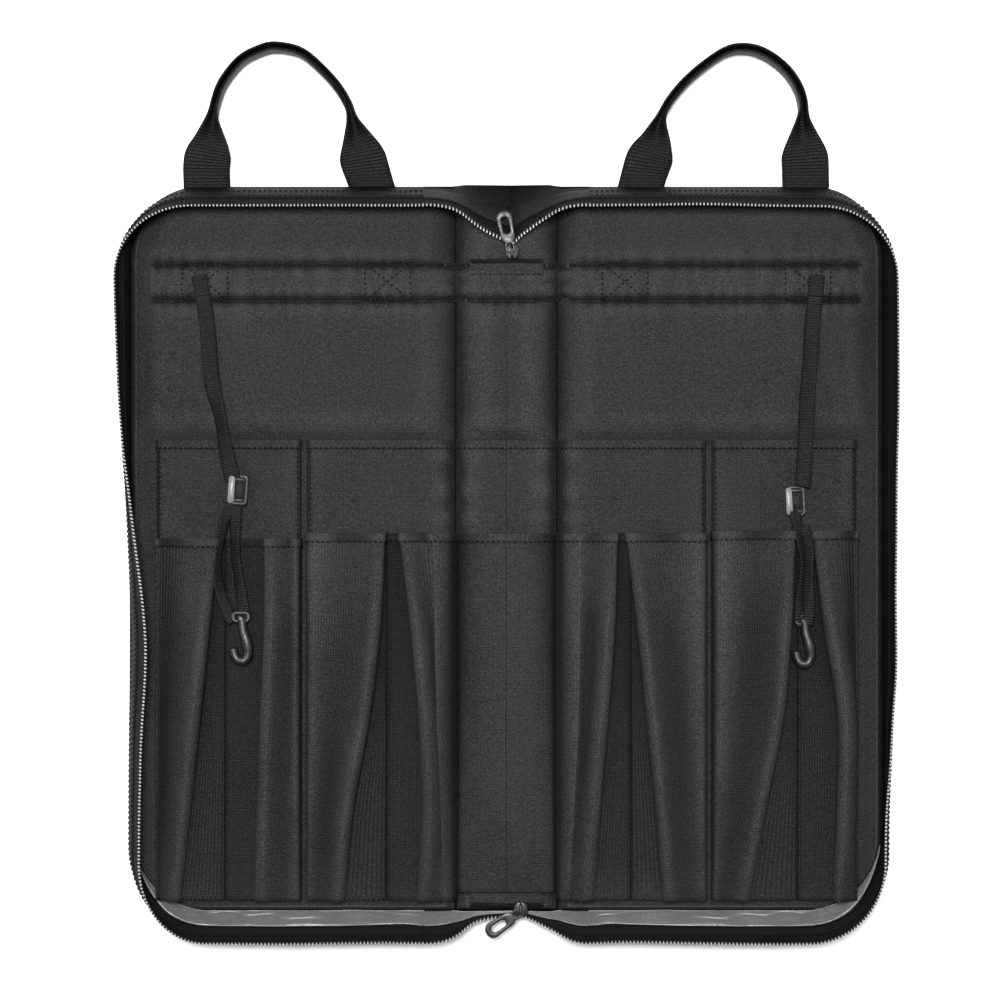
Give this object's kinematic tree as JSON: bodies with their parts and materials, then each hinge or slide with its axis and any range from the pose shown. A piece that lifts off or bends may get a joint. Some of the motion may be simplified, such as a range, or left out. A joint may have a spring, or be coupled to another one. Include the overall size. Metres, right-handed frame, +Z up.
{
  "type": "drum stick bag",
  "caption": "Book-style padded drum stick bag lying open, with pleated stick pockets, zip halves, hook straps and two webbing handles.",
  "frame": {"origin": "centre of the spine's flat outer face, which lies on the surface", "axes": "+X to the right across the open covers, +Y along the spine towards the carrying handles, +Z up out of the open bag"},
  "size_m": [0.482, 0.5701, 0.0316],
  "materials": {
    "outer_fabric": "black woven polyester with a slight sheen",
    "lining_fabric": "plain woven black lining over padding",
    "pocket_fabric": "plain woven black pocket cloth",
    "band_fabric": "woven reinforcing band, edge stitched",
    "handle_webbing": "ribbed black webbing",
    "strap_webbing": "narrow ribbed black webbing",
    "binding_tape": "black twill tape",
    "zip_tape": "black zip tape",
    "foam_board": "closed-cell foam board, hidden",
    "silver_coil": "bright silver zip teeth",
    "black_metal": "gloss black coated metal",
    "black_plastic": "black moulded plastic"
  },
  "bodies": {
    "spine": {"spine_outer_shell": "outer_fabric", "spine_foam_board": "foam_board", "spine_lining": "lining_fabric", "spine_band": "band_fabric", "spine_upper_pocket": "pocket_fabric", "spine_lower_pocket": "pocket_fabric", "top_end_tab": "lining_fabric", "bottom_end_tab": "lining_fabric", "top_left_end_web": "outer_fabric", "top_right_end_web": "outer_fabric", "bottom_left_end_web": "outer_fabric", "bottom_right_end_web": "outer_fabric"},
    "left_cover": {"left_outer_shell": "outer_fabric", "left_foam_board": "foam_board", "left_lining": "lining_fabric", "left_gusset": "outer_fabric", "left_edge_binding": "binding_tape", "left_zip_tape": "zip_tape", "left_zip_coil": "silver_coil", "left_band": "band_fabric", "left_upper_outer_pocket": "pocket_fabric", "left_upper_inner_pocket": "pocket_fabric", "left_lower_outer_pocket": "pocket_fabric", "left_lower_inner_pocket": "pocket_fabric", "left_handle_outer_foot": "handle_webbing", "left_handle_inner_foot": "handle_webbing"},
    "left_carrying_handle": {"left_handle": "handle_webbing"},
    "left_strap": {"left_hook_strap": "strap_webbing"},
    "left_adjuster": {"left_strap_adjuster": "black_plastic"},
    "left_hook_carrier": {"left_strap_loop": "strap_webbing"},
    "left_snap_hook": {"left_hook": "black_metal"},
    "right_cover": {"right_outer_shell": "outer_fabric", "right_foam_board": "foam_board", "right_lining": "lining_fabric", "right_gusset": "outer_fabric", "right_edge_binding": "binding_tape", "right_zip_tape": "zip_tape", "right_zip_coil": "silver_coil", "right_band": "band_fabric", "right_upper_outer_pocket": "pocket_fabric", "right_upper_inner_pocket": "pocket_fabric", "right_lower_outer_pocket": "pocket_fabric", "right_lower_inner_pocket": "pocket_fabric", "right_handle_outer_foot": "handle_webbing", "right_handle_inner_foot": "handle_webbing"},
    "right_carrying_handle": {"right_handle": "handle_webbing"},
    "right_strap": {"right_hook_strap": "strap_webbing"},
    "right_adjuster": {"right_strap_adjuster": "black_plastic"},
    "right_hook_carrier": {"right_strap_loop": "strap_webbing"},
    "right_snap_hook": {"right_hook": "black_metal"},
    "top_slider": {"top_zip_slider": "black_metal"},
    "top_pull": {"top_zip_pull": "black_metal"},
    "bottom_slider": {"bottom_zip_slider": "black_metal"},
    "bottom_pull": {"bottom_zip_pull": "black_metal"}
  },
  "joints": [
    {"name": "left_cover_fold", "type": "hinge", "parent": "spine", "child": "left_cover", "pos_m": [-0.0325, 0, 0], "axis": [0, 1, 0], "range_deg": [0, 90], "deforming": ["top_left_end_web", "bottom_left_end_web"]},
    {"name": "left_handle_swing", "type": "hinge", "parent": "left_cover", "child": "left_carrying_handle", "pos_m": [0, 0.2332, 0.0006], "axis": [-1, 0, 0], "range_deg": [-100, 0]},
    {"name": "left_strap_swing", "type": "hinge", "parent": "left_cover", "child": "left_strap", "pos_m": [-0.196, 0.175, 0.0093], "axis": [1, 0, 0], "range_deg": [-95, 0]},
    {"name": "left_adjuster_slide", "type": "slide", "parent": "left_strap", "child": "left_adjuster", "axis": [0, 1, 0], "range_m": [0, 0.03], "deforming": ["left_hook_strap"]},
    {"name": "left_hook_lift", "type": "slide", "parent": "left_adjuster", "child": "left_hook_carrier", "axis": [0, 1, 0], "range_m": [-0.015, 0], "deforming": ["left_strap_loop"]},
    {"name": "left_hook_swing", "type": "hinge", "parent": "left_hook_carrier", "child": "left_snap_hook", "pos_m": [-0.1685, -0.041, 0.017], "axis": [1, 0, 0], "range_deg": [-90, 0]},
    {"name": "right_cover_fold", "type": "hinge", "parent": "spine", "child": "right_cover", "pos_m": [0.0325, 0, 0], "axis": [0, -1, 0], "range_deg": [0, 90], "deforming": ["top_right_end_web", "bottom_right_end_web"]},
    {"name": "right_handle_swing", "type": "hinge", "parent": "right_cover", "child": "right_carrying_handle", "pos_m": [0, 0.2332, 0.0006], "axis": [-1, 0, 0], "range_deg": [-100, 0]},
    {"name": "right_strap_swing", "type": "hinge", "parent": "right_cover", "child": "right_strap", "pos_m": [0.198, 0.175, 0.0093], "axis": [1, 0, 0], "range_deg": [-95, 0]},
    {"name": "right_adjuster_slide", "type": "slide", "parent": "right_strap", "child": "right_adjuster", "axis": [0, 1, 0], "range_m": [0, 0.03], "deforming": ["right_hook_strap"]},
    {"name": "right_hook_lift", "type": "slide", "parent": "right_adjuster", "child": "right_hook_carrier", "axis": [0, 1, 0], "range_m": [-0.015, 0], "deforming": ["right_strap_loop"]},
    {"name": "right_hook_swing", "type": "hinge", "parent": "right_hook_carrier", "child": "right_snap_hook", "pos_m": [0.1885, -0.043, 0.017], "axis": [1, 0, 0], "range_deg": [-90, 0]},
    {"name": "top_slider_travel", "type": "slide", "parent": "spine", "child": "top_slider", "axis": [0, 1, 0], "range_m": [0, 0.01]},
    {"name": "top_pull_swing", "type": "hinge", "parent": "top_slider", "child": "top_pull", "pos_m": [0.0035, 0.19, 0.0188], "axis": [-0.9798, -0.2, 0], "range_deg": [-150, 0]},
    {"name": "bottom_slider_travel", "type": "slide", "parent": "spine", "child": "bottom_slider", "axis": [0, -1, 0], "range_m": [0, 0.01]},
    {"name": "bottom_pull_swing", "type": "hinge", "parent": "bottom_slider", "child": "bottom_pull", "pos_m": [0.009, -0.228, 0.0188], "axis": [0.5549, -0.8319, 0], "range_deg": [-150, 0]}
  ],
  "couplings": [
    {"joint": "left_hook_lift", "follows": "left_adjuster_slide", "ratio": -0.5},
    {"joint": "right_hook_lift", "follows": "right_adjuster_slide", "ratio": -0.5}
  ]
}
